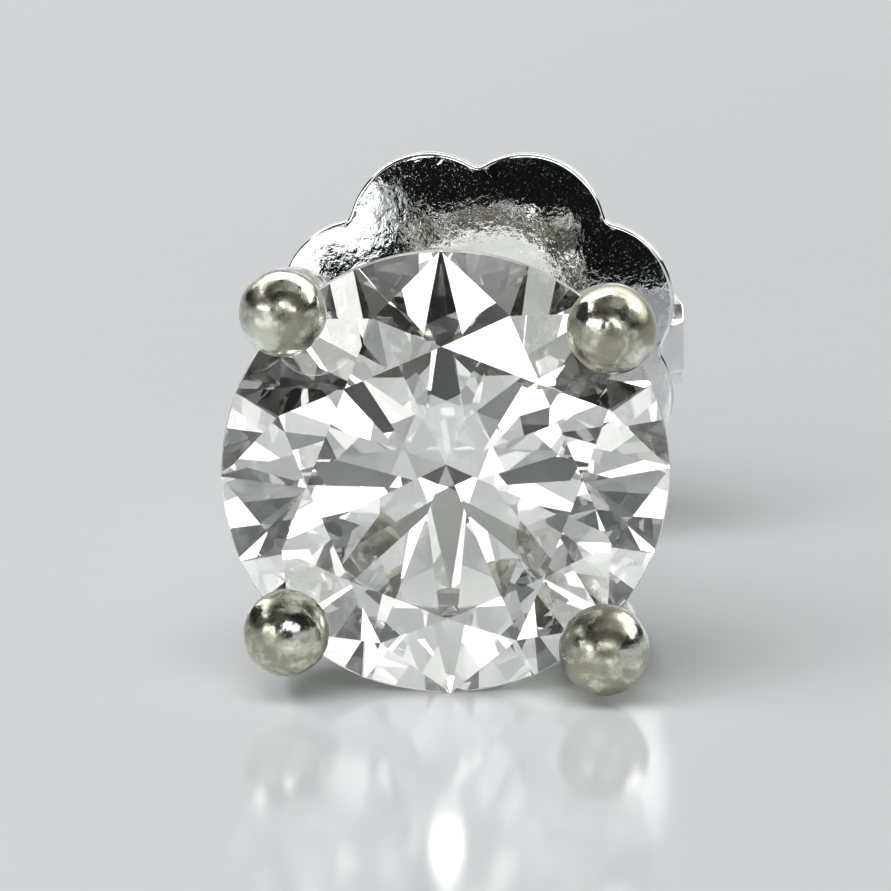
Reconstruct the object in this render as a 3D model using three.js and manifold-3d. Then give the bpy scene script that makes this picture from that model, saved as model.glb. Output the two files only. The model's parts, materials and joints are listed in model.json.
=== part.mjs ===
// A diamond stud earring: a round brilliant in a four-prong basket on a straight post, with a
// scalloped friction back pushed onto the post. Millimetres.
//
// Every piece is made in one stud frame: the post's axis is Z, +Z is the way the table faces, +Y is
// up as seen from the front, and height 0 is the middle of the girdle. The stud is then laid down on
// the surface it rests on, touching it with the girdle and with two lobes of the back.
import * as THREE from "three";
import { mergeVertices } from "three/addons/utils/BufferGeometryUtils.js";
import Module from "manifold-3d";

// Stone: a round brilliant of usual proportions, set by hand and so not quite square to the post
const STONE_RADIUS = 3.2;
const STONE_LEAN = [-0.6, 2.1, 1.3]; // degrees about X, Y and Z
const TABLE_RADIUS = 0.612 * STONE_RADIUS; // to a corner of the table's octagon
const CROWN_ANGLE = 34.6; // degrees from the girdle's plane
const PAVILION_ANGLE = 40.3;
const STAR_SHARE = 0.52; // how far a star facet reaches from the table's edge to the girdle
const LOWER_HALF_SHARE = 0.77; // how far a lower half facet reaches from the girdle to the culet
const GIRDLE_THICKNESS = 0.2;
const GIRDLE_SIDES = 64;
const FOLDS = 8; // the brilliant repeats this often round its axis

// Prongs: round wire, balled at the tip and notched for the stone. Each was bent over by hand, so
// each has its own turn round the axis from +X (degrees), reach out to its tip, and tip.
const PRONGS = [
  { turn: 42.7, reach: 3.24, tipRadius: 0.64 },
  { turn: 133.5, reach: 3.3, tipRadius: 0.62 },
  { turn: 224.8, reach: 3.15, tipRadius: 0.62 },
  { turn: 313.5, reach: 3.34, tipRadius: 0.65 },
];
const PRONG_RADIUS = 0.52;
const PRONG_STEPS = 12;
const PRONG_SIDES = 14;
const TIP_SIDES = 18;
const TIP_RINGS = 12;
const SEAT_GAP = 0.03; // between the notches and the stone
// A prong's middle line, from its foot in the base to its tip
const PRONG_LINE = [
  { inFromReach: 1.7, height: -3.2 },
  { inFromReach: 0.84, height: -2.0 },
  { inFromReach: 0.18, height: -0.8 },
  { inFromReach: -0.01, height: 0.0 },
  { inFromReach: 0, height: 0.72 },
];

// Basket and post
const GALLERY_RADIUS = 2.5;
const GALLERY_HEIGHT = -1.3;
const GALLERY_WIRE_RADIUS = 0.34;
const GALLERY_STEPS = 48;
const GALLERY_WIRE_SIDES = 10;
const BASE_RADIUS = 2.3;
const BASE_FRONT = -3.05;
const BASE_BACK = -3.55;
const BASE_ROUNDING = 0.12;
const POST_RADIUS = 0.45;
const POST_END = -13.95;
const POST_TIP_RADIUS = 0.26; // of the flat on the rounded tip
const POST_TIP_LENGTH = 0.22;
const POST_TIP_STEPS = 3;
const POST_SIDES = 32;
const NOTCH = { from: -12.85, to: -12.45, depth: 0.08, slope: 0.08 }; // holds the back on

// Friction back
const SHEET = 0.28;
const SHEET_END_STEPS = 4; // of the rounding at the sheet's ends
const PLATE_RADIUS = 3.2;
const PLATE_FRONT = -10.4; // height of the plate's rim
const DOME_RISE = 0.28; // of the plate's middle, forward of its rim
const DOME_POWER = 1.8; // how the dome falls away towards the rim
const BORE_RADIUS = 0.5;
const LOBES = 8;
const LOBE_RADIUS = 1.26; // of each lobe's own arc
const VALLEY_BLEND = 0.14; // rounds the valley between two lobes
const SCALLOP_FROM = 1.3; // the plate is plain round inside this radius
const SCALLOP_POWER = 1.5; // how the scallops grow from there to the edge
const PLATE_STEPS = 6;
const STEPS_PER_LOBE = 12;
const NECK_WIDTH = 0.8; // of a tongue where it leaves the plate
const SCROLL_WIDTH = 1.7;
const TONGUE_REACH = 3.07; // out to the middle of the sheet, at the bend
const TONGUE_BEND = 0.37;
const TONGUE_ROOT = new THREE.Vector2(2.4, -0.03); // x and height, inside the plate
const TONGUE_FALL = 0.07; // away from the front, from the root to the bend
const SCROLL_REACH = 2.81; // out to the middle of the sheet
const SCROLL_HEIGHT = -1.78; // of the scroll's centre, from the plate's rim
const SCROLL_PITCH = 0.4; // drawn in over one turn
const SCROLL_TURN = 405; // degrees
const SCROLL_GAP = 0.04; // to the post on each side
const TURN_STEP = 15; // degrees, of the bend and the scroll

const METAL = new THREE.MeshStandardMaterial({ color: 0xcfcdc4, metalness: 1, roughness: 0.12 });
const PLATED = new THREE.MeshStandardMaterial({ color: 0xd4d5d3, metalness: 1, roughness: 0.05 });
const STONE = new THREE.MeshStandardMaterial({
  color: 0xf4f2f2,
  metalness: 0,
  roughness: 0,
  flatShading: true,
  transparent: true,
  opacity: 0.6,
});

const wasm = await Module();
wasm.setup();

const radians = THREE.MathUtils.degToRad;

function polar(radius, degrees, height) {
  const turn = radians(degrees);
  return new THREE.Vector3(radius * Math.cos(turn), radius * Math.sin(turn), height);
}

function onCircle(centre, radius, degrees) {
  const turn = radians(degrees);
  return new THREE.Vector2(Math.cos(turn), Math.sin(turn)).multiplyScalar(radius).add(centre);
}

// A closed geometry as a solid that can be joined and cut.
function solidOf(geometry) {
  geometry.deleteAttribute("normal");
  geometry.deleteAttribute("uv");
  const merged = mergeVertices(geometry, 1e-4);
  const vertProperties = merged.attributes.position.array;
  const triVerts = new Uint32Array(merged.index.array);
  return new wasm.Manifold(new wasm.Mesh({ numProp: 3, vertProperties, triVerts }));
}

function meshOf(name, solid, material) {
  const { vertProperties, triVerts } = solid.getMesh();
  const geometry = new THREE.BufferGeometry();
  geometry.setAttribute("position", new THREE.BufferAttribute(vertProperties, 3));
  geometry.setIndex(new THREE.BufferAttribute(triVerts, 1));
  geometry.computeVertexNormals();
  const mesh = new THREE.Mesh(geometry, material);
  mesh.name = name;
  return mesh;
}

// A solid of revolution about Z, from a profile of (radius, height) points.
function turned(profile, sides) {
  return new THREE.LatheGeometry(profile, sides).rotateX(Math.PI / 2);
}

// The outline of a strip of sheet of the given thickness along a line of 2-D points. roundSteps
// rounds the strip's far end.
function strip(line, thickness, roundSteps = 0) {
  const half = thickness / 2;
  const sideways = line.map((_, i) => {
    const before = line[Math.max(i - 1, 0)];
    const after = line[Math.min(i + 1, line.length - 1)];
    const along = after.clone().sub(before).normalize();
    return new THREE.Vector2(-along.y, along.x).multiplyScalar(half);
  });
  const left = line.map((point, i) => point.clone().add(sideways[i]));
  const right = line.map((point, i) => point.clone().sub(sideways[i]));
  const end = line[line.length - 1];
  const cap = [];
  for (let i = 1; i < roundSteps; i++) {
    const turn = (-Math.PI * i) / roundSteps;
    cap.push(left.at(-1).clone().rotateAround(end, turn));
  }
  return [...left, ...cap, ...right.reverse()];
}

// The planes of the brilliant's facets, with their normals outwards.
function facetPlanes() {
  const halfGirdle = GIRDLE_THICKNESS / 2;
  const crownSlope = Math.tan(radians(CROWN_ANGLE));
  const pavilionSlope = Math.tan(radians(PAVILION_ANGLE));
  const step = 360 / FOLDS;
  const halfStep = radians(step / 2);
  const tableHeight = halfGirdle + (STONE_RADIUS - TABLE_RADIUS) * crownSlope;
  const tableEdge = TABLE_RADIUS * Math.cos(halfStep);
  const starRadius = tableEdge + STAR_SHARE * (STONE_RADIUS - tableEdge);
  const starHeight = halfGirdle + (STONE_RADIUS - starRadius * Math.cos(halfStep)) * crownSlope;
  const keelRadius = STONE_RADIUS * (1 - LOWER_HALF_SHARE);
  const keelHeight = -halfGirdle - (STONE_RADIUS - keelRadius * Math.cos(halfStep)) * pavilionSlope;

  const planes = [new THREE.Plane(new THREE.Vector3(0, 0, 1), -tableHeight)];
  const through = (...points) => {
    const plane = new THREE.Plane().setFromCoplanarPoints(...points);
    planes.push(plane.constant > 0 ? plane.negate() : plane);
  };
  const sloping = (angle, side, point) => {
    const normal = point.clone().setZ(0).normalize().multiplyScalar(Math.sin(radians(angle)));
    normal.z = side * Math.cos(radians(angle));
    planes.push(new THREE.Plane().setFromNormalAndCoplanarPoint(normal, point));
  };
  for (let k = 0; k < FOLDS; k++) {
    const main = k * step;
    const joint = main + step / 2;
    const next = main + step;
    sloping(CROWN_ANGLE, 1, polar(STONE_RADIUS, main, halfGirdle));
    sloping(PAVILION_ANGLE, -1, polar(STONE_RADIUS, main, -halfGirdle));
    const star = polar(starRadius, joint, starHeight);
    through(polar(TABLE_RADIUS, main, tableHeight), polar(TABLE_RADIUS, next, tableHeight), star);
    const keel = polar(keelRadius, joint, keelHeight);
    for (const side of [main, next]) {
      for (const [tip, height] of [[star, halfGirdle], [keel, -halfGirdle]])
        through(tip, polar(STONE_RADIUS, side, height), polar(STONE_RADIUS, joint, height));
    }
  }
  return planes;
}

// The stone, ground facet by facet from a round blank. A gap grows it evenly all over.
function brilliant(gap) {
  const radius = STONE_RADIUS + gap;
  const block = 4 * STONE_RADIUS;
  const front = new THREE.Vector3(0, 0, 1);
  const blank = new THREE.CylinderGeometry(radius, radius, block / 2, GIRDLE_SIDES);
  let stone = solidOf(blank.rotateX(Math.PI / 2));
  for (const { normal, constant } of facetPlanes()) {
    const waste = new THREE.BoxGeometry(block, block, block);
    waste.applyQuaternion(new THREE.Quaternion().setFromUnitVectors(front, normal));
    waste.translate(...normal.clone().multiplyScalar(gap - constant + block / 2));
    stone = stone.subtract(solidOf(waste));
  }
  return stone.rotate(STONE_LEAN);
}

function prong({ turn, reach, tipRadius }) {
  const points = PRONG_LINE.map((row) => polar(reach - row.inFromReach, turn, row.height));
  const line = new THREE.CatmullRomCurve3(points);
  const section = new THREE.Shape().absarc(0, 0, PRONG_RADIUS, 0, 2 * Math.PI);
  const curveSegments = PRONG_SIDES / 2; // per half turn
  const wire = new THREE.ExtrudeGeometry(section, { extrudePath: line, steps: PRONG_STEPS, curveSegments });
  const ball = new THREE.SphereGeometry(tipRadius, TIP_SIDES, TIP_RINGS).rotateX(Math.PI / 2);
  ball.translate(...points.at(-1));
  return solidOf(wire).add(solidOf(ball));
}

// The flat base and the post on it, turned as one: from the end of the post to the base's front.
function baseAndPost() {
  const notchRadius = POST_RADIUS - NOTCH.depth;
  const tip = [];
  for (let i = 0; i <= POST_TIP_STEPS; i++) {
    const turn = (Math.PI / 2) * (i / POST_TIP_STEPS);
    const radius = POST_TIP_RADIUS + (POST_RADIUS - POST_TIP_RADIUS) * Math.sin(turn);
    tip.push([radius, POST_END + POST_TIP_LENGTH * (1 - Math.cos(turn))]);
  }
  const profile = [
    [0, POST_END],
    ...tip,
    [POST_RADIUS, NOTCH.from],
    [notchRadius, NOTCH.from + NOTCH.slope],
    [notchRadius, NOTCH.to - NOTCH.slope],
    [POST_RADIUS, NOTCH.to],
    [POST_RADIUS, BASE_BACK],
    [BASE_RADIUS - BASE_ROUNDING, BASE_BACK],
    [BASE_RADIUS, BASE_BACK + BASE_ROUNDING],
    [BASE_RADIUS, BASE_FRONT - BASE_ROUNDING],
    [BASE_RADIUS - BASE_ROUNDING, BASE_FRONT],
    [0, BASE_FRONT],
  ].map(([radius, height]) => new THREE.Vector2(radius, height));
  return solidOf(turned(profile, POST_SIDES));
}

function setting() {
  const wireRadius = GALLERY_WIRE_RADIUS;
  const ring = new THREE.TorusGeometry(GALLERY_RADIUS, wireRadius, GALLERY_WIRE_SIDES, GALLERY_STEPS);
  let metal = baseAndPost().add(solidOf(ring.translate(0, 0, GALLERY_HEIGHT)));
  for (const row of PRONGS) metal = metal.add(prong(row));
  return metal.subtract(brilliant(SEAT_GAP));
}

// How far the scalloped edge reaches at a turn round the plate: the outer arcs of equal lobes,
// with a valley at the top, the bottom and each side.
function plateEdge(turn) {
  const centre = PLATE_RADIUS - LOBE_RADIUS;
  const step = (2 * Math.PI) / LOBES;
  const reach = (offset) =>
    centre * Math.cos(offset) + Math.sqrt(LOBE_RADIUS ** 2 - (centre * Math.sin(offset)) ** 2);
  const offset = THREE.MathUtils.euclideanModulo(turn, step) - step / 2;
  const near = reach(offset);
  const far = reach(Math.min(step - Math.abs(offset), Math.asin(LOBE_RADIUS / centre)));
  const blend = Math.max(1 - (near - far) / VALLEY_BLEND, 0);
  return near + (VALLEY_BLEND * blend ** 2) / 4;
}

// How far forward of its rim the domed plate stands at a radius.
function domeRise(radius) {
  return DOME_RISE * (1 - (radius / PLATE_RADIUS) ** DOME_POWER);
}

// The domed plate: a flat ring turned with its bore, drawn in to the scalloped edge and then domed.
function plate() {
  const line = [];
  for (let i = 0; i <= PLATE_STEPS; i++) {
    const radius = THREE.MathUtils.lerp(BORE_RADIUS, PLATE_RADIUS - SHEET / 2, i / PLATE_STEPS);
    line.push(new THREE.Vector2(radius, -SHEET / 2));
  }
  const profile = strip(line, SHEET, SHEET_END_STEPS);
  profile.push(profile[0].clone());
  const geometry = turned(profile.reverse(), STEPS_PER_LOBE * LOBES);
  const { position } = geometry.attributes;
  for (let i = 0; i < position.count; i++) {
    const x = position.getX(i);
    const y = position.getY(i);
    const radius = Math.hypot(x, y);
    const share = Math.max((radius - SCALLOP_FROM) / (PLATE_RADIUS - SCALLOP_FROM), 0);
    const pull = plateEdge(Math.atan2(y, x)) - PLATE_RADIUS;
    const drawn = radius + share ** SCALLOP_POWER * pull;
    const height = position.getZ(i) + domeRise(drawn);
    position.setXYZ(i, (x * drawn) / radius, (y * drawn) / radius, height);
  }
  return solidOf(geometry);
}

// One tongue of the back, on the +X side: out from the plate, bent back, and rolled in to the post.
// It is narrow where it leaves the plate, between two lobes, and widens towards the scroll.
function tongue() {
  const innerLine = POST_RADIUS + SCROLL_GAP + SHEET / 2;
  const start = (SCROLL_REACH - innerLine) / 2 + SCROLL_PITCH / 4; // the scroll's first radius
  const centre = new THREE.Vector2(SCROLL_REACH - start, SCROLL_HEIGHT);
  const bend = new THREE.Vector2(TONGUE_REACH, TONGUE_ROOT.y - TONGUE_FALL).subScalar(TONGUE_BEND);
  const line = [TONGUE_ROOT];
  for (let degrees = 90; degrees >= -TURN_STEP; degrees -= TURN_STEP)
    line.push(onCircle(bend, TONGUE_BEND, degrees));
  const neckEnd = line.length;
  for (let turn = TURN_STEP; turn <= SCROLL_TURN; turn += TURN_STEP)
    line.push(onCircle(centre, start - (SCROLL_PITCH * turn) / 360, -turn));

  const section = new THREE.Shape(strip(line, SHEET, SHEET_END_STEPS));
  const geometry = new THREE.ExtrudeGeometry(section, { depth: 1, bevelEnabled: false });
  geometry.translate(0, 0, -0.5);
  const { position } = geometry.attributes;
  for (let i = 0; i < position.count; i++) {
    const point = new THREE.Vector2(position.getX(i), position.getY(i));
    const distances = line.map((station) => station.distanceTo(point));
    const nearest = distances.indexOf(Math.min(...distances));
    position.setZ(i, position.getZ(i) * (nearest < neckEnd ? NECK_WIDTH : SCROLL_WIDTH));
  }
  return geometry.rotateX(Math.PI / 2);
}

function earringBack() {
  const right = solidOf(tongue());
  const left = solidOf(tongue().rotateZ(Math.PI));
  return plate().add(right).add(left).translate([0, 0, PLATE_FRONT]);
}

// The stud laid down: the lowest lobes of the back lie nearer the axis than the girdle does, so
// the post slopes down a little to the back.
function laidDown(pieces) {
  const centre = PLATE_RADIUS - LOBE_RADIUS;
  const lobesBelow = centre * Math.cos(Math.PI / LOBES) + LOBE_RADIUS;
  const drop = STONE_RADIUS - lobesBelow;
  const run = GIRDLE_THICKNESS / -2 - (PLATE_FRONT - SHEET / 2);
  const stud = new THREE.Group();
  stud.add(...pieces);
  stud.rotation.x = Math.PI / 2 - Math.atan2(drop, run);
  const box = new THREE.Box3().setFromObject(stud, true);
  const middle = box.getCenter(new THREE.Vector3());
  stud.position.set(-middle.x, -middle.y, -box.min.z);
  return stud;
}

const earring = new THREE.Group();
earring.add(
  laidDown([
    meshOf("diamond", brilliant(0), STONE),
    meshOf("setting", setting(), METAL),
    meshOf("earring_back", earringBack(), PLATED),
  ]),
);

export default earring;
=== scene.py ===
"""Adds a diamond stud earring, lying on its side, with its floor, lights and camera.

Every piece is shaped in the stud's own frame: the post's axis is Z, +Z is the way the stone's
table faces, +Y is up as seen from the front, and height 0 is the middle of the girdle. It is then
laid down as the stud lies. Lengths are in metres.
"""

import json
import math

import bmesh
import bpy
from bpy.props import FloatProperty, FloatVectorProperty, IntProperty, PointerProperty
from mathutils import Euler, Matrix, Vector, noise
from mathutils.geometry import interpolate_bezier


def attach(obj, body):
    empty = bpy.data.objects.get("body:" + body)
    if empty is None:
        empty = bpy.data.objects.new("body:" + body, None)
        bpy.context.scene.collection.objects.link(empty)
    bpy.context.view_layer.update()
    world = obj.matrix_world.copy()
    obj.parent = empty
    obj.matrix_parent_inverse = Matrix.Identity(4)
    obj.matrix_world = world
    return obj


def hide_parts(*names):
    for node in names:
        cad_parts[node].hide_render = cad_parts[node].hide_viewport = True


bl_info = {
    "name": "Diamond Stud Earring",
    "version": (1, 0, 0),
    "blender": (4, 5, 0),
    "location": "View3D > Sidebar > Earring",
    "description": "Adds a brilliant-cut stone in a four-prong basket, with its post and back",
    "category": "Add Mesh",
}

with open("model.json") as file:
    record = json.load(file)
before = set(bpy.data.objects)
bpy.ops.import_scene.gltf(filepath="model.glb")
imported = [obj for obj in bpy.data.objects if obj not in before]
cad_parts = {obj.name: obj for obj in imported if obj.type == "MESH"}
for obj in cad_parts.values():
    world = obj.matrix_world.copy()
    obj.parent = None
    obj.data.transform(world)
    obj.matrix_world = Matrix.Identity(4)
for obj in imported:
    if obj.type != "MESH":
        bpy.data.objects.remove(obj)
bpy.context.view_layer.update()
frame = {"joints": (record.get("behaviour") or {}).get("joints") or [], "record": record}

MM = 0.001
MICRON = 0.001 * MM
FULL_TURN = 2 * math.pi
CREASE = math.radians(40)  # an edge that turns more is shaded sharp
CORNER = math.radians(60)  # an edge that turns more is rounded

# ---------------------------------------------------------------------------------------------
# The stud's own frame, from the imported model
# ---------------------------------------------------------------------------------------------

POST_END_HEIGHT = -13.95 * MM  # of the post's end, below the middle of the girdle


def mount_place(name):
    mounts = frame["record"]["mounts"]
    return Vector(next(mount["pos_m"] for mount in mounts if mount["name"] == name))


def stud_to_frame():
    """The matrix from the stud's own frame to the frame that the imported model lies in."""
    to_back = Vector(frame["joints"][0]["axis"]).normalized()
    facing = -to_back
    across = Vector((1, 0, 0))
    turn = Matrix((across, facing.cross(across), facing)).transposed().to_4x4()
    girdle_centre = mount_place("post_end") - facing * POST_END_HEIGHT
    return Matrix.Translation(girdle_centre) @ turn


STUD = stud_to_frame()
# The stone was set by hand, and is not quite square to the post.
STONE_LEAN = Euler([math.radians(degrees) for degrees in (-0.6, 2.1, 1.3)]).to_matrix().to_4x4()


# ---------------------------------------------------------------------------------------------
# Sizes and colours that a user would change
# ---------------------------------------------------------------------------------------------


def length(name, description, default):
    return FloatProperty(
        name=name, description=description, default=default, min=0, precision=5, unit="LENGTH"
    )


def angle(name, description, degrees):
    return FloatProperty(
        name=name, description=description, default=math.radians(degrees), subtype="ANGLE"
    )


def share(name, description, default):
    return FloatProperty(
        name=name, description=description, default=default, min=0, max=1, subtype="FACTOR"
    )


def colour(name, description, default):
    return FloatVectorProperty(
        name=name, description=description, default=default, min=0, max=1, subtype="COLOR"
    )


class StoneSizes(bpy.types.PropertyGroup):
    radius: length("Radius", "Girdle radius of the stone", 3.2 * MM)
    table: share("Table", "Table's corner radius as a share of the girdle radius", 0.612)
    crown: angle("Crown", "Slope of the kite facets from the girdle's plane", 34.6)
    pavilion: angle("Pavilion", "Slope of the pavilion mains from the girdle's plane", 40.3)
    star: share("Star", "How far the star facets reach from the table to the girdle", 0.52)
    lower_half: share("Lower Half", "How far the lower half facets reach to the culet", 0.77)
    girdle: length("Girdle", "Thickness of the girdle", 0.2 * MM)
    folds: IntProperty(name="Folds", description="How often the cut repeats", default=8, min=3)


class BasketSizes(bpy.types.PropertyGroup):
    prong: length("Prong", "Radius of the prong wire", 0.52 * MM)
    gallery: length("Gallery", "Radius of the gallery ring's middle line", 2.5 * MM)
    gallery_wire: length("Gallery Wire", "Radius of the gallery ring's wire", 0.34 * MM)
    base: length("Base", "Radius of the flat base", 2.3 * MM)
    base_thickness: length("Base Thickness", "Thickness of the flat base", 0.5 * MM)
    post: length("Post", "Radius of the post", 0.45 * MM)


class BackSizes(bpy.types.PropertyGroup):
    plate: length("Plate", "Radius of the scalloped plate out to its lobes", 3.2 * MM)
    lobe: length("Lobe", "Radius of each lobe's own arc", 1.26 * MM)
    dome: length("Dome", "How far the plate's middle stands forward of its rim", 0.28 * MM)
    sheet: length("Sheet", "Thickness of the sheet that the back is stamped from", 0.28 * MM)
    bore: length("Bore", "Radius of the hole for the post", 0.5 * MM)
    scroll: length("Scroll", "Width of the rolled scrolls", 1.7 * MM)
    neck: length("Neck", "Width of each tongue where it leaves the plate", 0.8 * MM)


class Finishes(bpy.types.PropertyGroup):
    gold: colour("White Gold", "Clean polished white gold", (0.685, 0.69, 0.60))
    # At 0.4 of this colour it is also the painted shade in the hollow behind the stone
    tarnish: colour("Tarnish", "Dull film in the hollows of the setting", (0.25, 0.24, 0.16))
    plating: colour("Plating", "Bright plating of the friction back", (0.88, 0.89, 0.88))
    floor: colour("Floor", "Glossy pale sheet that the stud lies on", (0.79, 0.815, 0.825))


# ---------------------------------------------------------------------------------------------
# Shader maths, written as expressions
# ---------------------------------------------------------------------------------------------


class Value:
    """A number that varies over a surface: an output socket with the arithmetic operators."""

    def __init__(self, nodes, socket):
        self.nodes = nodes
        self.socket = socket

    def math(self, operation, *others, clamp=False):
        return self.nodes.node(
            "ShaderNodeMath", self, *others, operation=operation, use_clamp=clamp
        )

    def __add__(self, other):
        return self.math("ADD", other)

    def __radd__(self, other):
        return self.nodes.node("ShaderNodeMath", other, self, operation="ADD")

    def __sub__(self, other):
        return self.math("SUBTRACT", other)

    def __rsub__(self, other):
        return self.nodes.node("ShaderNodeMath", other, self, operation="SUBTRACT")

    def __mul__(self, other):
        return self.math("MULTIPLY", other)

    def __rmul__(self, other):
        return self.nodes.node("ShaderNodeMath", other, self, operation="MULTIPLY")

    def __pow__(self, other):
        return self.math("POWER", other)

    def __lt__(self, other):
        return self.math("LESS_THAN", other)

    def clamped(self):
        return self.math("ADD", 0.0, clamp=True)


class Nodes:
    """The node tree of a material or of the world."""

    def __init__(self, owner):
        owner.use_nodes = True
        self.tree = owner.node_tree
        self.tree.nodes.clear()

    def node(self, kind, *inputs, output=0, stops=None, **options):
        """Adds a node and returns one of its outputs.

        Options that name a property set it, and the others are inputs by name. An input of None is
        left alone.
        """
        made = self.tree.nodes.new(kind)
        named = {}
        for key, value in options.items():
            if hasattr(made, key):
                setattr(made, key, value)
            else:
                named[key.replace("_", " ")] = value
        if stops:
            ramp = made.color_ramp.elements
            while len(ramp) < len(stops):
                ramp.new(1.0)
            for element, (position, shade) in zip(ramp, stops):
                element.position = position
                element.color = (*shade, 1.0)
        for key, value in [*enumerate(inputs), *named.items()]:
            if value is not None:
                self.feed(made.inputs[key], value)
        return Value(self, made.outputs[output])

    def feed(self, socket, value):
        if isinstance(value, Value):
            self.tree.links.new(value.socket, socket)
        elif socket.type == "RGBA":
            socket.default_value = (*value, 1.0)
        else:
            socket.default_value = value

    def noise(self, place, scale, detail=3.0, roughness=0.55, distortion=0.0):
        return self.node(
            "ShaderNodeTexNoise",
            Vector=place,
            Scale=scale,
            Detail=detail,
            Roughness=roughness,
            Distortion=distortion,
        )

    def between(self, value, low, high, start=0.0, end=1.0):
        """Eases value from low to high into start to end."""
        return self.node(
            "ShaderNodeMapRange", value, low, high, start, end, interpolation_type="SMOOTHSTEP"
        )

    def mix(self, factor, first, second):
        """A colour mix. The node's colours come after its two numbers and two vectors."""
        unused = [None] * 5
        return self.node(
            "ShaderNodeMix", factor, *unused, first, second, data_type="RGBA", output=2
        )

    def parts(self, vector):
        made = self.node("ShaderNodeSeparateXYZ", vector).socket.node
        return [Value(self, socket) for socket in made.outputs]

    def end(self, kind, shader):
        self.feed(self.tree.nodes.new(kind).inputs[0], shader)


class Shader(Nodes):
    """The node tree of one material."""

    def __init__(self, name):
        self.material = bpy.data.materials.new(name)
        super().__init__(self.material)
        self.place = self.node("ShaderNodeTexCoord", output="Object")

    def placed(self, matrix):
        """Object coordinates turned and centred by the inverse of a rigid matrix."""
        back = matrix.inverted()
        return self.node(
            "ShaderNodeMapping",
            self.place,
            Location=back.to_translation(),
            Rotation=back.to_euler(),
            vector_type="POINT",
        )

    def cloud(self, size, **options):
        """Noise over the surface, with features of about a size in metres."""
        return self.noise(self.place, 1 / size, **options)

    def bumped(self, microns):
        """The normal of a surface with a relief."""
        return self.node("ShaderNodeBump", Strength=1.0, Distance=MICRON, Height=microns)

    def surface(self, **inputs):
        """Ends the tree in a Principled shader, and returns the material."""
        self.end("ShaderNodeOutputMaterial", self.node("ShaderNodeBsdfPrincipled", **inputs))
        return self.material


# ---------------------------------------------------------------------------------------------
# Mesh helpers
# ---------------------------------------------------------------------------------------------


def around(radius, turn, height):
    return Vector((radius * math.cos(turn), radius * math.sin(turn), height))


def new_verts(made):
    return [item for item in made["geom"] if isinstance(item, bmesh.types.BMVert)]


def edges_among(made, verts):
    within = set(verts)
    edges = (item for item in made["geom"] if isinstance(item, bmesh.types.BMEdge))
    return [edge for edge in edges if within.issuperset(edge.verts)]


def smooth_line(points, steps):
    """A smooth line through the points, as Bezier pieces whose handles follow the neighbours."""
    ends = [2 * points[0] - points[1], *points, 2 * points[-1] - points[-2]]
    line = [points[0]]
    for before, start, end, after in zip(ends, ends[1:], ends[2:], ends[3:]):
        out_of_start = start + (end - before) / 6
        in_to_end = end - (after - start) / 6
        line += interpolate_bezier(start, out_of_start, in_to_end, end, steps + 1)[1:]
    return line


def station(place, along, across, wide=1.0, thick=1.0):
    """The matrix that puts a flat section at a place, facing along, with its X across."""
    along = along.normalized()
    up = along.cross(across).normalized()
    turn = Matrix((up.cross(along) * wide, up * thick, along)).transposed().to_4x4()
    return Matrix.Translation(place) @ turn


def sweep(bm, ring, stations):
    """Extrudes a ring of edges, which is at the first station, through the others."""
    for before, after in zip(stations, stations[1:]):
        made = bmesh.ops.extrude_edge_only(bm, edges=ring)
        verts = new_verts(made)
        ring = edges_among(made, verts)
        bmesh.ops.transform(bm, matrix=after @ before.inverted(), verts=verts)
    return ring


def swept_rod(bm, stations, sides):
    """A round rod through the stations, with flat ends."""
    made = bmesh.ops.create_circle(bm, cap_ends=True, radius=1, segments=sides, matrix=stations[0])
    ring = list({edge for vert in made["verts"] for edge in vert.link_edges})
    last = sweep(bm, ring, stations)
    bmesh.ops.edgeloop_fill(bm, edges=last)


def turned(bm, outline, sides):
    """A solid of revolution about Z, from an outline of (radius, height) that ends on the axis."""
    verts = [bm.verts.new((radius, 0, height)) for radius, height in outline]
    edges = [bm.edges.new(pair) for pair in zip(verts, verts[1:])]
    bmesh.ops.spin(
        bm, geom=[*verts, *edges], cent=(0, 0, 0), axis=(0, 0, 1), angle=FULL_TURN, steps=sides,
        use_merge=True,
    )
    bmesh.ops.remove_doubles(bm, verts=bm.verts, dist=0.1 * MICRON)


def added(name, bm):
    """Turns a bmesh into an object in the scene."""
    mesh = bpy.data.meshes.new(name)
    bm.to_mesh(mesh)
    bm.free()
    made = bpy.data.objects.new(name, mesh)
    bpy.context.collection.objects.link(made)
    return made


def finished(name, bm, material, body, crease=CREASE):
    """Turns a bmesh in the stud's frame into a piece that rides on a body."""
    bmesh.ops.recalc_face_normals(bm, faces=bm.faces)
    bmesh.ops.transform(bm, matrix=STUD, verts=bm.verts)
    piece = added(name, bm)
    piece.data.shade_smooth()
    piece.data.set_sharp_from_angle(angle=crease)
    piece.data.materials.append(material)
    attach(piece, body)
    return piece


def rounded(bm, edges, radius, segments=4):
    bmesh.ops.bevel(
        bm, geom=edges, offset=radius, offset_type="OFFSET", affect="EDGES", segments=segments,
        profile=0.5, material=-1, clamp_overlap=True,
    )


def corners(bm):
    return [edge for edge in bm.edges if edge.is_manifold and edge.calc_face_angle() > CORNER]


# ---------------------------------------------------------------------------------------------
# The stone
# ---------------------------------------------------------------------------------------------

GIRDLE_SIDES = 128


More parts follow.
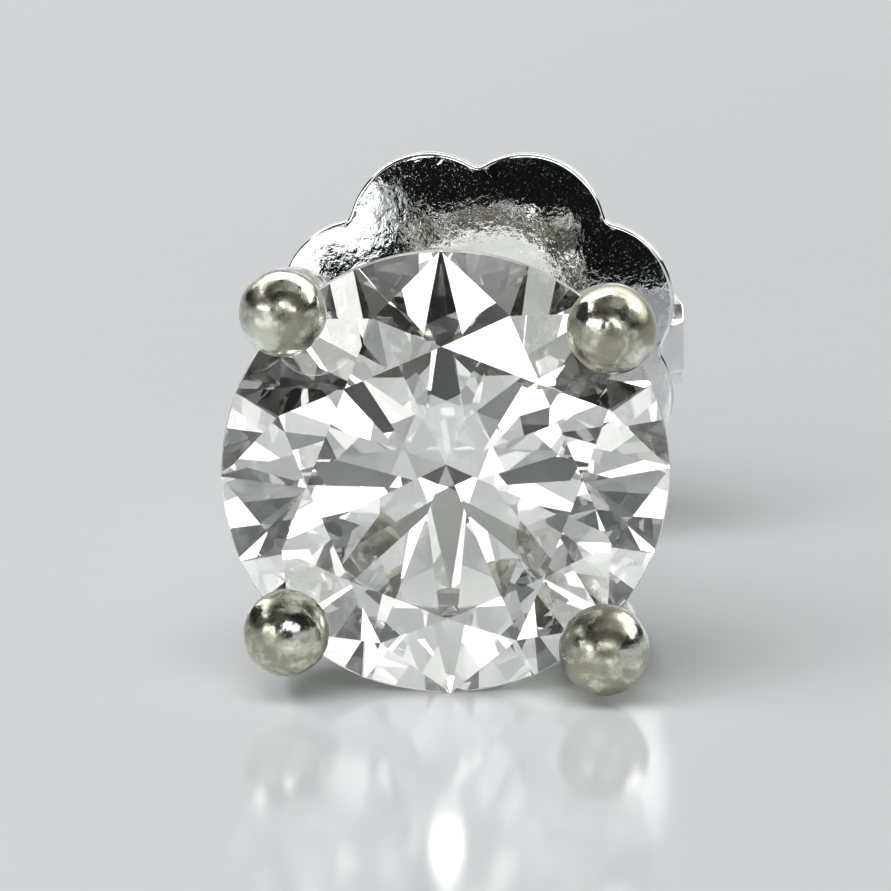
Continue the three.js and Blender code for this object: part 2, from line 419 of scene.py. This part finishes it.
def facet_planes(stone):
    """The facets' planes, each as a point and a normal that faces out."""
    half_girdle = stone.girdle / 2
    half_step = math.pi / stone.folds
    table = stone.table * stone.radius
    table_height = half_girdle + (stone.radius - table) * math.tan(stone.crown)
    table_edge = table * math.cos(half_step)
    star = table_edge + stone.star * (stone.radius - table_edge)
    star_height = half_girdle + (stone.radius - star * math.cos(half_step)) * math.tan(stone.crown)
    keel = stone.radius * (1 - stone.lower_half)
    keel_height = (stone.radius - keel * math.cos(half_step)) * math.tan(stone.pavilion)
    keel_height = -half_girdle - keel_height

    def through(first, second, third):
        normal = (second - first).cross(third - first).normalized()
        return first, normal if normal.dot(first) > 0 else -normal

    crown_rise = 1 / math.tan(stone.crown)
    pavilion_rise = 1 / math.tan(stone.pavilion)
    planes = [(Vector((0, 0, table_height)), Vector((0, 0, 1)))]
    for fold in range(stone.folds):
        main = 2 * fold * half_step
        joint = main + half_step
        after = joint + half_step
        tip = around(star, joint, star_height)
        foot = around(keel, joint, keel_height)
        planes += [
            (around(stone.radius, main, half_girdle), around(1, main, crown_rise)),
            (around(stone.radius, main, -half_girdle), around(1, main, -pavilion_rise)),
            through(around(table, main, table_height), around(table, after, table_height), tip),
        ]
        for side in (main, after):
            for corner, height in ((tip, half_girdle), (foot, -half_girdle)):
                ends = (around(stone.radius, turn, height) for turn in (side, joint))
                planes.append(through(corner, *ends))
    return planes


def cut_stone(bm, stone, gap=0.0):
    """Grinds the stone from a round blank, facet by facet. A gap grows it evenly all over."""
    radius = stone.radius + gap
    bmesh.ops.create_cone(
        bm, cap_ends=True, segments=GIRDLE_SIDES, radius1=radius, radius2=radius, depth=2 * radius
    )
    for point, normal in facet_planes(stone):
        away = normal.normalized()
        cut = bmesh.ops.bisect_plane(
            bm, geom=[*bm.verts, *bm.edges, *bm.faces], plane_co=point + gap * away,
            plane_no=away, clear_outer=True, dist=0.01 * MICRON,
        )["geom_cut"]
        rim = [item for item in cut if isinstance(item, bmesh.types.BMEdge)]
        bmesh.ops.edgeloop_fill(bm, edges=rim)
    bmesh.ops.remove_doubles(bm, verts=bm.verts, dist=0.05 * MICRON)
    bmesh.ops.transform(bm, matrix=STONE_LEAN, verts=bm.verts)


class STUD_OT_stone(bpy.types.Operator):
    """Cut the round brilliant stone"""

    bl_idname = "stud.stone"
    bl_label = "Diamond"

    def execute(self, context):
        stone = context.scene.stud_stone
        bm = bmesh.new()
        cut_stone(bm, stone)
        piece = finished("brilliant", bm, diamond_material(stone), "stud", crease=0)
        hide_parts("diamond")
        return {"FINISHED"}


# ---------------------------------------------------------------------------------------------
# The setting: prongs, gallery ring, base and post
# ---------------------------------------------------------------------------------------------

# Each prong was bent over by hand: its turn round the axis from +X, its reach out to the middle of
# its tip, and the tip's radius.
PRONGS = (
    (math.radians(42.7), 3.24 * MM, 0.64 * MM),
    (math.radians(133.5), 3.30 * MM, 0.62 * MM),
    (math.radians(224.8), 3.15 * MM, 0.62 * MM),
    (math.radians(313.5), 3.34 * MM, 0.65 * MM),
)
# A prong's middle line, from its foot in the base to the middle of its tip: how far in from the
# tip's reach, and the height
PRONG_LINE = (
    (1.70 * MM, -3.2 * MM),
    (0.84 * MM, -2.0 * MM),
    (0.18 * MM, -0.8 * MM),
    (-0.01 * MM, 0.0 * MM),
    (0.0, 0.72 * MM),
)
PRONG_SIDES = 64
WIRE_STEPS = 10  # between two points of the middle line
WIRE_END = 1.15  # how far from the tip's middle the wire ends, as a share of where it enters
TIP_STEPS = 28
TIP_END = 0.995 * math.pi  # round the tip, just short of its front
DENT_SPACING = 0.42 * MM
DENT_DEPTH = 0.016 * MM
SEAT_GAP = 0.03 * MM


def prong_stations(turn, reach, tip_radius, wire):
    """Stations up the wire and over the round tip, which grows out of the wire."""
    points = [around(reach - inward, turn, height) for inward, height in PRONG_LINE]
    line = smooth_line(points, WIRE_STEPS)
    across = around(1, turn + math.pi / 2, 0)
    start = math.asin(wire / tip_radius)
    tip = line[-1]
    neck = tip_radius * math.cos(start)
    stations = []
    for place, after in zip(line, line[1:]):
        if (tip - place).length > WIRE_END * neck:
            stations.append(station(place, after - place, across, wire, wire))
    up = (line[-1] - line[-2]).normalized()
    for step in range(TIP_STEPS + 1):
        polar = start + (TIP_END - start) * step / TIP_STEPS
        radius = tip_radius * math.sin(polar)
        place = tip - up * tip_radius * math.cos(polar)
        stations.append(station(place, up, across, radius, radius))
    return stations


def dented(bm):
    """Leaves the shallow dents of the burnisher that worked the tips down."""
    bm.normal_update()
    for vert in bm.verts:
        vert.co += vert.normal * DENT_DEPTH * noise.noise(vert.co / DENT_SPACING)


def seated(piece, stone):
    """Cuts the seat for the stone into a prong."""
    bm = bmesh.new()
    cut_stone(bm, stone, SEAT_GAP)
    bmesh.ops.transform(bm, matrix=STUD, verts=bm.verts)
    cutter = added("seat_cutter", bm)
    cut = piece.modifiers.new("Seat", "BOOLEAN")
    cut.operation = "DIFFERENCE"
    cut.solver = "EXACT"
    cut.object = cutter
    graph = bpy.context.evaluated_depsgraph_get()
    used = cutter.data, piece.data
    piece.data = bpy.data.meshes.new_from_object(piece.evaluated_get(graph))
    piece.modifiers.clear()
    bpy.data.objects.remove(cutter)
    for mesh in used:
        bpy.data.meshes.remove(mesh)
    piece.data.shade_smooth()
    piece.data.set_sharp_from_angle(angle=CREASE)


class STUD_OT_prongs(bpy.types.Operator):
    """Bend the four prongs over the stone, and cut their seats"""

    bl_idname = "stud.prongs"
    bl_label = "Prongs"

    def execute(self, context):
        basket = context.scene.stud_basket
        material = white_gold()
        for number, (turn, reach, tip_radius) in enumerate(PRONGS, 1):
            bm = bmesh.new()
            swept_rod(bm, prong_stations(turn, reach, tip_radius, basket.prong), PRONG_SIDES)
            dented(bm)
            name = f"prong_{number}"
            piece = finished(name, bm, material, "stud")
            seated(piece, context.scene.stud_stone)
            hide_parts("setting")
        return {"FINISHED"}


GALLERY_HEIGHT = -1.3 * MM
GALLERY_SIDES = 160
GALLERY_WIRE_SIDES = 32
BASE_FRONT = -3.05 * MM
BASE_SIDES = 128
BASE_ROUNDING = 0.12 * MM


class STUD_OT_basket(bpy.types.Operator):
    """Add the gallery ring and the flat base that carry the prongs"""

    bl_idname = "stud.basket"
    bl_label = "Basket"

    def execute(self, context):
        basket = context.scene.stud_basket
        material = white_gold()
        ring = bmesh.new()
        section = Matrix.Translation((basket.gallery, 0, GALLERY_HEIGHT))
        section @= Matrix.Rotation(math.pi / 2, 4, "X")
        bmesh.ops.create_circle(
            ring, radius=basket.gallery_wire, segments=GALLERY_WIRE_SIDES, matrix=section
        )
        bmesh.ops.spin(
            ring, geom=ring.edges[:], cent=(0, 0, 0), axis=(0, 0, 1), angle=FULL_TURN,
            steps=GALLERY_SIDES, use_merge=True,
        )
        piece = finished("gallery_ring", ring, material, "stud")
        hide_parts("setting")

        base = bmesh.new()
        bmesh.ops.create_cone(
            base, cap_ends=True, segments=BASE_SIDES, radius1=basket.base, radius2=basket.base,
            depth=basket.base_thickness,
            matrix=Matrix.Translation((0, 0, BASE_FRONT - basket.base_thickness / 2)),
        )
        rounded(base, corners(base), BASE_ROUNDING)
        piece = finished("base", base, brushed_gold(), "stud")
        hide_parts("setting")
        return {"FINISHED"}


POST_SIDES = 64
POST_SINK = 0.2 * MM  # how deep it stands in the base
POST_ROUNDING = 0.19 * MM
POST_CREASE = math.radians(25)
# The notch: how deep it is, and the heights between which it deepens, stays deep and fades
NOTCH_DEPTH = 0.08 * MM
NOTCH_HEIGHTS = (-12.85 * MM, -12.77 * MM, -12.53 * MM, -12.45 * MM)


class STUD_OT_post(bpy.types.Operator):
    """Turn the post, with the notch that holds the back on"""

    bl_idname = "stud.post"
    bl_label = "Post"

    def execute(self, context):
        post = context.scene.stud_basket.post
        bm = bmesh.new()
        notch = post - NOTCH_DEPTH
        outline = [
            (0, POST_END_HEIGHT),
            (post, POST_END_HEIGHT),
            *zip((post, notch, notch, post), NOTCH_HEIGHTS),
            (post, BASE_FRONT - POST_SINK),
            (0, BASE_FRONT - POST_SINK),
        ]
        turned(bm, outline, POST_SIDES)
        tip = [
            edge
            for edge in corners(bm)
            if all(vert.co.z < POST_END_HEIGHT + MICRON for vert in edge.verts)
        ]
        rounded(bm, tip, POST_ROUNDING, 6)
        piece = finished("post", bm, white_gold(), "stud", crease=POST_CREASE)
        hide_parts("setting")
        return {"FINISHED"}


# ---------------------------------------------------------------------------------------------
# The friction back
# ---------------------------------------------------------------------------------------------

PLATE_HEIGHT = -10.4 * MM  # of the front of the plate's rim
LOBES = 8
VALLEY_BLEND = 0.14 * MM  # rounds the valley between two lobes
SCALLOP_FROM = 1.3 * MM  # the plate is round inside this radius
SCALLOP_POWER = 1.5
DOME_POWER = 1.8
PLATE_RINGS = 40
STEPS_PER_LOBE = 36
PLATE_ROUNDING = 0.11 * MM


def plate_edge(turn, back):
    """How far the scalloped edge reaches at a turn round the plate."""
    centre = back.plate - back.lobe
    step = FULL_TURN / LOBES

    def reach(offset):
        return centre * math.cos(offset) + math.sqrt(
            max(back.lobe**2 - (centre * math.sin(offset)) ** 2, 0)
        )

    offset = turn % step - step / 2
    near = reach(offset)
    far = reach(min(step - abs(offset), math.asin(back.lobe / centre)))
    blend = max(1 - (near - far) / VALLEY_BLEND, 0)
    return near + VALLEY_BLEND * blend**2 / 4


def scalloped(vert, back):
    """Puts a vert of the flat ring onto the domed plate, drawn in to the scalloped edge."""
    radius = math.hypot(vert.co.x, vert.co.y)
    turn = math.atan2(vert.co.y, vert.co.x)
    grown = max((radius - SCALLOP_FROM) / (back.plate - SCALLOP_FROM), 0)
    drawn = radius + grown**SCALLOP_POWER * (plate_edge(turn, back) - back.plate)
    rise = back.dome * (1 - (drawn / back.plate) ** DOME_POWER)
    vert.co = around(drawn, turn, PLATE_HEIGHT + rise)


class STUD_OT_plate(bpy.types.Operator):
    """Stamp the domed plate with its scalloped edge"""

    bl_idname = "stud.plate"
    bl_label = "Plate"

    def execute(self, context):
        back = context.scene.stud_back
        bm = bmesh.new()
        bore = Matrix.Diagonal((back.bore, back.bore, 1, 1))
        bmesh.ops.create_circle(bm, radius=1, segments=STEPS_PER_LOBE * LOBES, matrix=bore)
        width = back.plate - back.bore
        radii = [back.bore + width * ring / PLATE_RINGS for ring in range(PLATE_RINGS + 1)]
        sweep(bm, bm.edges[:], [Matrix.Diagonal((radius, radius, 1, 1)) for radius in radii])
        for vert in bm.verts:
            scalloped(vert, back)
        below = bmesh.ops.extrude_face_region(bm, geom=bm.faces[:])
        bmesh.ops.translate(bm, vec=(0, 0, -back.sheet), verts=new_verts(below))
        rims = [edge for edge in bm.edges if edge.calc_face_angle(0) > CORNER]
        rounded(bm, rims, PLATE_ROUNDING, 5)
        material = plating("plated_sheet", 0.02, 1.8)
        piece = finished("back_plate", bm, material, "back")
        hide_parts("earring_back")
        return {"FINISHED"}


# The tongues and scrolls, as the middle of the sheet runs. Heights are from the front of the
# plate's rim.
TONGUE_ROOT = Vector((2.4, 0, -0.03)) * MM
TONGUE_FALL = 0.07 * MM  # from the root to the start of the bend
TONGUE_REACH = 3.07 * MM
TONGUE_BEND = 0.37 * MM  # radius
TONGUE_TURNS = range(90, -16, -7)  # degrees round the bend
TONGUE_GROWTH = 8  # steps over which it widens, half of them before the bend's end
SCROLL_REACH = 2.81 * MM
SCROLL_HEIGHT = -1.78 * MM
SCROLL_PITCH = 0.4 * MM  # how much the roll tightens in a full turn
SCROLL_TURN = math.radians(405)
SCROLL_STEPS = 90
SCROLL_FIRST_STEP = 2  # the bend already comes up to it
SCROLL_GAP = 0.04 * MM  # from the sheet's face to the post
SCROLL_ROUNDING = 0.05 * MM


def tongue_line(basket, back):
    """The middle of the sheet, on the +X side: out from the plate, bent back, and rolled in.

    Also returns how many of its points lie in the bend.
    """
    inner = basket.post + SCROLL_GAP + back.sheet / 2
    first = (SCROLL_REACH - inner) / 2 + SCROLL_PITCH / 4
    centre = Vector((SCROLL_REACH - first, 0, SCROLL_HEIGHT))
    bend = Vector((TONGUE_REACH - TONGUE_BEND, 0, TONGUE_ROOT.z - TONGUE_FALL - TONGUE_BEND))
    bent = [
        bend + TONGUE_BEND * Vector((math.cos(turn), 0, math.sin(turn)))
        for turn in (math.radians(degrees) for degrees in TONGUE_TURNS)
    ]
    rolled = []
    for step in range(SCROLL_FIRST_STEP, SCROLL_STEPS + 1):
        turn = SCROLL_TURN * step / SCROLL_STEPS
        radius = first - SCROLL_PITCH * turn / FULL_TURN
        rolled.append(centre + radius * Vector((math.cos(turn), 0, -math.sin(turn))))
    return [TONGUE_ROOT, *bent, *rolled], len(bent)


class STUD_OT_scrolls(bpy.types.Operator):
    """Roll the two tongues back into the scrolls that grip the post"""

    bl_idname = "stud.scrolls"
    bl_label = "Scrolls"

    def execute(self, context):
        back = context.scene.stud_back
        line, neck_end = tongue_line(context.scene.stud_basket, back)
        lift = Vector((0, 0, PLATE_HEIGHT))
        across = Vector((0, 1, 0))
        material = plating("rolled_sheet", 0.28, 0.0)
        for number, side in enumerate((0, math.pi), 1):
            bm = bmesh.new()
            turn = Matrix.Rotation(side, 4, "Z")
            stations = []
            for index, (place, after) in enumerate(zip(line, line[1:])):
                grown = (index - neck_end + TONGUE_GROWTH / 2) / TONGUE_GROWTH
                grown = min(max(grown, 0), 1)
                grown = grown * grown * (3 - 2 * grown)
                wide = back.neck + (back.scroll - back.neck) * grown
                stations.append(station(place + lift, after - place, across, wide, back.sheet))
            made = bmesh.ops.create_grid(
                bm, x_segments=1, y_segments=1, size=0.5, matrix=stations[0]
            )
            ring = list({edge for vert in made["verts"] for edge in vert.link_edges})
            last = sweep(bm, ring, stations)
            bmesh.ops.edgeloop_fill(bm, edges=last)
            rounded(bm, corners(bm), SCROLL_ROUNDING, 3)
            bmesh.ops.transform(bm, matrix=turn, verts=bm.verts)
            piece = finished(f"back_scroll_{number}", bm, material, "back")
            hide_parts("earring_back")
        return {"FINISHED"}


# ---------------------------------------------------------------------------------------------
# Finishes
# ---------------------------------------------------------------------------------------------

# How a finish changes along a coordinate: where the change starts and ends, and where four values
# are given, what it goes from and to.
FILM_TO_SIDE = (-1.5 * MM, 2.5 * MM, 0.0, 0.07)  # more film towards +X
FILM_OFF_POST = (-3.4 * MM, -2.9 * MM, 0.12, 0.0)  # and less on the post
# The hollow behind the stone, which is painted as shade: inside a cone, behind the girdle, and in
# front of the base
SHADED_HOLLOW_SLOPE = 0.72
SHADED_HOLLOW_SIDE = (4.1 * MM, 5.1 * MM, 1.0, 0.0)
SHADED_HOLLOW_FRONT = (-1.1 * MM, -0.7 * MM, 1.0, 0.0)
SHADED_HOLLOW_BACK = (-3.2 * MM, -2.9 * MM)
BASE_FLAT = (-3.53 * MM, -3.49 * MM, 1.0, 0.0)  # from the base's flat back to its rim
PUNCHED = (2.1 * MM, 2.8 * MM)  # radius where the coarse grain round the plate's hole ends
GROUND_EDGE = (0.992, 0.996)  # of the girdle, in shares of the stone's radius
GROUND_HALF = 0.499  # of the girdle's thickness
# Painted light on the floor: its colour brightens to the left of these X values
FLOOR_LIT_LEFT = (-10 * MM, 6 * MM, 1.0, 0.0)  # where the floor is lighter
DIAMOND_INDEX = 2.417
DIAMOND_TINTS = ((0.995, 0.985, 0.955), (0.99, 0.992, 0.97))


def scaled(shade, factor):
    return tuple(factor * part for part in shade)


def scratches(shader, turn, spacing, seed):
    """Fine straight rubbing marks: 1 in a mark and 0 beside it. spacing is in metres."""
    along = shader.node(
        "ShaderNodeMapping", shader.place, Location=(seed, 0, seed), Rotation=turn,
        Scale=(1 / spacing, 0.03 / spacing, 1 / spacing), vector_type="POINT",
    )
    streaks = shader.noise(along, 1.0, detail=2.0, roughness=0.7)
    return shader.between(streaks, 0.62, 0.74)


def white_gold():
    """Hand-finished white gold: rubbed bright and finely scratched, with a dull film in patches.

    The hollow behind the stone is painted dark as painted shade, in a colour taken from the
    tarnish.
    """
    made = bpy.data.materials.get("rubbed_gold")
    if made:
        return made
    finish = bpy.context.scene.stud_finishes
    shader = Shader("rubbed_gold")
    patches = shader.cloud(0.55 * MM, detail=4.0, distortion=0.8)
    specks = shader.cloud(0.1 * MM)
    x, y, height = shader.parts(shader.placed(STUD))
    side = shader.between(x, *FILM_TO_SIDE)
    post = shader.between(height, *FILM_OFF_POST)
    film = shader.between(patches + specks * 0.3 + side - post, 0.55, 0.78)
    # Painted shade: the hollow behind the stone, which is painted dark, less metallic and rougher
    # below
    within = shader.between((x * x + y * y) ** 0.5 - height * SHADED_HOLLOW_SLOPE, *SHADED_HOLLOW_SIDE)
    hollow = within * shader.between(height, *SHADED_HOLLOW_FRONT)
    hollow = hollow * shader.between(height, *SHADED_HOLLOW_BACK)
    marks = scratches(shader, (0.4, 0.9, 0.2), 0.05 * MM, 3.0)
    marks = marks + scratches(shader, (1.3, -0.5, 0.8), 0.04 * MM, 7.0) * 0.6
    wave = shader.cloud(0.3 * MM, detail=2.0)
    relief = wave * 14.0 + specks * 2.5 - marks * 0.6
    filmed = shader.mix(film * 0.75, finish.gold, finish.tarnish)
    # The colour of the painted shade in the hollow, taken from the tarnish
    hollow_shade_colour = scaled(finish.tarnish, 0.4)
    return shader.surface(
        Base_Color=shader.mix(hollow, filmed, hollow_shade_colour),
        Metallic=hollow * -0.25 + 1.0,
        Roughness=(film * 0.2 + hollow * 0.1 + marks * 0.06 + 0.13).clamped(),
        Normal=shader.bumped(relief),
    )


def brushed_gold():
    """White gold with its flat back brushed to an even soft gloss, painted paler as a painted
    sheen, and its rim polished.
    """
    finish = bpy.context.scene.stud_finishes
    shader = Shader("brushed_gold")
    _x, _y, height = shader.parts(shader.placed(STUD))
    flat = shader.between(height, *BASE_FLAT)
    lines = scratches(shader, (0.0, 0.3, 1.1), 0.035 * MM, 2.0)
    cross = scratches(shader, (0.2, 0.1, -0.4), 0.05 * MM, 9.0)
    cloud = shader.cloud(0.4 * MM)
    relief = cloud * 3.0 - (lines * 0.8 + cross * 0.5) * (flat * 2.0 + 0.5)
    # Painted sheen: the flat back's colour is made paler than the gold, mixed with the brushing
    # lines
    painted_sheen_colour = tuple(0.5 + 0.5 * part**0.3 for part in finish.gold)
    brushed_sheen = shader.mix(lines * 0.3 + cloud * 0.3, painted_sheen_colour, finish.gold)
    return shader.surface(
        Base_Color=shader.mix(flat, finish.gold, brushed_sheen),
        Metallic=1.0,
        Roughness=(lines * 0.08 + cloud * 0.12 + flat * 0.17 + 0.15).clamped(),
        Normal=shader.bumped(relief),
    )


def plating(name, dullness, crumple):
    """Bright plating over stamped sheet: a mirror with fine grain, drawing lines and dull specks.

    Round the hole for the post the punch has left the grain coarser, by the crumple.
    """
    finish = bpy.context.scene.stud_finishes
    shader = Shader(name)
    specks = shader.between(shader.cloud(0.07 * MM), 0.62, 0.75)
    grain = shader.cloud(0.13 * MM, distortion=0.4)
    wave = shader.cloud(0.9 * MM, detail=1.0)
    marks = scratches(shader, (0.2, 0.1, 0.6), 0.03 * MM, 5.0)
    x, y, _height = shader.parts(shader.placed(STUD))
    coarse = shader.between((x * x + y * y) ** 0.5, *PUNCHED, crumple, 0.0)
    relief = wave * 6.0 + grain * (coarse + 1.6) - marks * 0.3 - specks * 0.12
    darker = scaled(finish.plating, 0.82)
    return shader.surface(
        Base_Color=shader.mix(specks * 0.5 + marks * 0.2, finish.plating, darker),
        Metallic=1.0,
        Roughness=(specks * 0.05 + marks * 0.03 + dullness).clamped(),
        Normal=shader.bumped(relief),
    )


def diamond_material(stone):
    """Clear diamond with a faint body colour, polished facets and a ground girdle."""
    shader = Shader("cut_diamond")
    x, y, z = shader.parts(shader.placed(STUD @ STONE_LEAN))
    radius = (x * x + y * y) ** 0.5
    rim = shader.between(radius, *(stone.radius * part for part in GROUND_EDGE))
    ground = rim * (z.math("ABSOLUTE") < stone.girdle * GROUND_HALF)
    grain = shader.cloud(0.05 * MM)
    body = shader.cloud(2.5 * MM, detail=1.0)
    return shader.surface(
        Base_Color=shader.mix(body, *DIAMOND_TINTS),
        Roughness=ground * (0.3 + grain * 0.2),
        Transmission_Weight=1.0,
        IOR=DIAMOND_INDEX,
    )


def pale_sheet(finish):
    """The glossy pale sheet under the stud: painted light on its left side, a painted pool of
    light, and uneven in its gloss.
    """
    shader = Shader("pale_sheet")
    cloud = shader.cloud(9 * MM)
    painted_light = scaled(finish.floor, 1.05)
    darker = scaled(finish.floor, 0.97)
    x, _y, _height = shader.parts(shader.place)
    # Painted light: the sheet's colour is brightened to the left
    left = shader.between(x, *FLOOR_LIT_LEFT)
    clouded = shader.mix(cloud, finish.floor, darker)
    ripple = shader.cloud(1.4 * MM, detail=2.0)
    return shader.surface(
        Base_Color=shader.mix(left, clouded, painted_light),
        Roughness=0.1 + cloud * 0.05,
        IOR=1.5,
        Normal=shader.bumped(ripple * 4.0),
    )


# ---------------------------------------------------------------------------------------------
# The stage
# ---------------------------------------------------------------------------------------------

VIEW_YAW = math.radians(2.73)  # to the right of straight in front
VIEW_HEIGHT = math.radians(11.44)
VIEW_DISTANCE = 116.1 * MM
VIEW_WIDTH = 12.72 * MM  # of what is seen at the stone
VIEW_AIM = 0.38 * MM  # above the stone's middle
VIEW_CLIP = (10 * MM, 10.0)  # nearest and farthest that the camera sees
FLOOR_SIZE = 3.0
SOFTBOX_DISTANCE = 0.8
ALL_BOUNCES = 24
CLEAR_BOUNCES = 20  # of gloss and of light through the stone
# The room's light: how far up the direction points, from 0 to 1, and its colour
ROOM_STOPS = ((0.06, (0.6, 0.62, 0.62)), (0.2, (0.02, 0.02, 0.02)))

# Softboxes round the stud: azimuth from the front towards +X, elevation, width, height (degrees
# across, as seen from the stud) and brightness
SOFTBOXES = (
    ("front_left", -37, 18, 59, 13, 2.9),
    ("front_right", 25, 19, 29, 15, 1.8),
    ("front_high", 10, 30, 22, 9, 7.0),
    ("low_left", -30, 4, 36, 18, 0.85),
    ("top", 0, 74, 44, 12, 0.5),
    ("high_right", 78, 72, 20, 32, 0.5),
    ("left", -112, 45, 56, 6, 4.0),
    ("back_right", 110, 38, 31, 29, 3.6),
    ("back", 180, 12, 70, 26, 0.4),
    ("back_high", 180, 50, 80, 44, 2.8),
)
# The broad light on the floor: its azimuth and elevation, distance, size and brightness
FILL = (math.radians(-25), math.radians(52))
FILL_DISTANCE = 0.6
FILL_SIZE = 0.8
FILL_BRIGHTNESS = 2.95

# A black card stands in front of the stud, and darkens what its polished metal mirrors: how far in
# front it stands, and its outline as X and height.
CARD_FRONT = 70 * MM
CARD_OUTLINE = (
    (24 * MM, 0.3 * MM),
    (24 * MM, 19 * MM),
    (-15 * MM, 19 * MM),
    (-15 * MM, 36 * MM),
    (-38 * MM, 36 * MM),
    (-38 * MM, 11.8 * MM),
    (-19.5 * MM, 11.8 * MM),
    (-19.5 * MM, 15 * MM),
    (-14.2 * MM, 15 * MM),
    (-14.4 * MM, 11.5 * MM),
    (-17.0 * MM, 7.4 * MM),
    (-20.5 * MM, 5.6 * MM),
    (-26 * MM, 4 * MM),
    (-26 * MM, 0.3 * MM),
)


def direction(azimuth, elevation):
    flat = math.cos(elevation)
    return Vector((math.sin(azimuth) * flat, -math.cos(azimuth) * flat, math.sin(elevation)))


def hung(light, aim, azimuth, elevation, distance):
    """Hangs a light that faces a place. The camera doesn't see it."""
    lamp = bpy.data.objects.new(light.name, light)
    away = direction(azimuth, elevation)
    lamp.location = aim + distance * away
    lamp.rotation_euler = away.to_track_quat("Z", "Y").to_euler()
    lamp.visible_camera = False
    bpy.context.collection.objects.link(lamp)
    return lamp


def softbox(name, azimuth, elevation, width, height, brightness):
    """A softbox that only the gloss and the stone see."""
    light = bpy.data.lights.new(f"softbox_{name}", "AREA")
    light.shape = "RECTANGLE"
    light.size = 2 * SOFTBOX_DISTANCE * math.tan(math.radians(width / 2))
    light.size_y = 2 * SOFTBOX_DISTANCE * math.tan(math.radians(height / 2))
    light.energy = brightness * math.pi * light.size * light.size_y
    turns = math.radians(azimuth), math.radians(elevation)
    lamp = hung(light, STUD.to_translation(), *turns, SOFTBOX_DISTANCE)
    lamp.visible_diffuse = False


def floor_light():
    """The broad even light on the floor, which the polished metal and the stone don't see."""
    light = bpy.data.lights.new("floor_light", "AREA")
    light.size = FILL_SIZE
    light.energy = FILL_BRIGHTNESS * math.pi * FILL_SIZE**2
    lamp = hung(light, Vector(), *FILL, FILL_DISTANCE)
    lamp.visible_glossy = False
    lamp.visible_transmission = False


def black_card():
    """The black card, which only the polished metal sees."""
    bm = bmesh.new()
    bm.faces.new([bm.verts.new((x, -CARD_FRONT, height)) for x, height in CARD_OUTLINE])
    card = added("black_card", bm)
    shader = Shader("black_cloth")
    nap = shader.cloud(2 * MM)
    cloth = shader.surface(
        Base_Color=shader.mix(nap, (0.01, 0.01, 0.01), (0.02, 0.02, 0.02)),
        Roughness=0.9,
        Specular_IOR_Level=0.0,
    )
    card.data.materials.append(cloth)
    card.visible_camera = False
    card.visible_diffuse = False
    card.visible_transmission = False
    card.visible_shadow = False


def room_light():
    """A plain room: pale near the horizon and dim above."""
    world = bpy.data.worlds.new("room")
    room = Nodes(world)
    _x, _y, height = room.parts(room.node("ShaderNodeTexCoord", output="Generated"))
    shade = room.node("ShaderNodeValToRGB", height, stops=ROOM_STOPS)
    room.end("ShaderNodeOutputWorld", room.node("ShaderNodeBackground", shade))
    bpy.context.scene.world = world


class STUD_OT_stage(bpy.types.Operator):
    """Add the floor, the lights and the camera"""

    bl_idname = "stud.stage"
    bl_label = "Stage"

    def execute(self, context):
        bm = bmesh.new()
        bmesh.ops.create_grid(bm, x_segments=1, y_segments=1, size=FLOOR_SIZE / 2)
        floor = added("floor", bm)
        floor.data.materials.append(pale_sheet(context.scene.stud_finishes))

        for row in SOFTBOXES:
            softbox(*row)
        floor_light()
        black_card()
        room_light()

        away = direction(VIEW_YAW, VIEW_HEIGHT)
        camera = bpy.data.objects.new("camera", bpy.data.cameras.new("camera"))
        middle = STUD.to_translation()
        camera.location = middle + VIEW_DISTANCE * away
        aim = middle + Vector((0, 0, VIEW_AIM)) - camera.location
        camera.rotation_euler = aim.to_track_quat("-Z", "Y").to_euler()
        camera.data.lens = camera.data.sensor_width * VIEW_DISTANCE / VIEW_WIDTH
        camera.data.clip_start, camera.data.clip_end = VIEW_CLIP
        context.collection.objects.link(camera)
        context.scene.camera = camera

        context.scene.view_settings.view_transform = "Standard"
        cycles = context.scene.cycles
        cycles.max_bounces = ALL_BOUNCES
        cycles.glossy_bounces = CLEAR_BOUNCES
        cycles.transmission_bounces = CLEAR_BOUNCES
        return {"FINISHED"}


# ---------------------------------------------------------------------------------------------
# The add-on
# ---------------------------------------------------------------------------------------------

PIECES = (
    STUD_OT_stone,
    STUD_OT_prongs,
    STUD_OT_basket,
    STUD_OT_post,
    STUD_OT_plate,
    STUD_OT_scrolls,
    STUD_OT_stage,
)
GROUPS = {
    "stud_stone": StoneSizes,
    "stud_basket": BasketSizes,
    "stud_back": BackSizes,
    "stud_finishes": Finishes,
}


class STUD_PT_panel(bpy.types.Panel):
    """The stud's pieces, sizes and colours"""

    bl_label = "Diamond Stud"
    bl_space_type = "VIEW_3D"
    bl_region_type = "UI"
    bl_category = "Earring"

    def draw(self, context):
        layout = self.layout
        for group in GROUPS:
            box = layout.box()
            values = getattr(context.scene, group)
            for name in values.__annotations__:
                box.prop(values, name)
        for piece in PIECES:
            layout.operator(piece.bl_idname)


def register():
    for kind in (*GROUPS.values(), *PIECES, STUD_PT_panel):
        bpy.utils.register_class(kind)
    for name, group in GROUPS.items():
        setattr(bpy.types.Scene, name, PointerProperty(type=group))


def unregister():
    for name in GROUPS:
        delattr(bpy.types.Scene, name)
    for kind in (STUD_PT_panel, *reversed(PIECES), *GROUPS.values()):
        bpy.utils.unregister_class(kind)


def main():
    register()
    for piece in PIECES:
        family, name = piece.bl_idname.split(".")
        getattr(getattr(bpy.ops, family), name)()
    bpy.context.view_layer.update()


if __name__ == "__main__":
    main()
